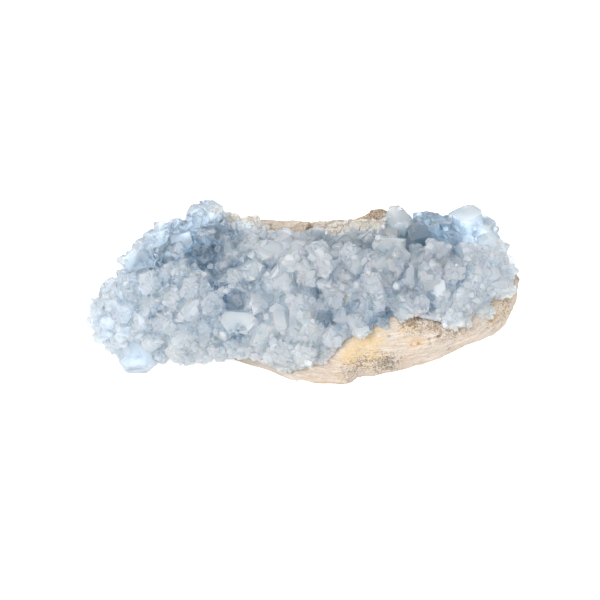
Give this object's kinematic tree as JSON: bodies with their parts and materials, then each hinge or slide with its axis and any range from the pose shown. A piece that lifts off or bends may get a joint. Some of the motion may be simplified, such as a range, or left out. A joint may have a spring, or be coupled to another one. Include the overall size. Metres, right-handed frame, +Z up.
{
  "type": "celestite crystal cluster",
  "caption": "Boat-shaped piece of a geode's wall with a crust of blocky pale blue celestite crystals over the front and top of a cream limestone matrix, round a narrow trough.",
  "frame": {"origin": "on the surface the piece rests on, under the middle of its box", "axes": "+Z up from the flat underside, +X along the length with the higher stone end, -Y to the crystal-covered front"},
  "size_m": [0.1524, 0.0588, 0.0488],
  "materials": {
    "limestone": "rough, bedded, cream with ochre and brown stains",
    "celestite": "translucent milky pale blue crystal, vitreous faces"
  },
  "bodies": {
    "root": {"limestone_matrix": "limestone", "celestite_crust": "celestite"}
  },
  "joints": []
}
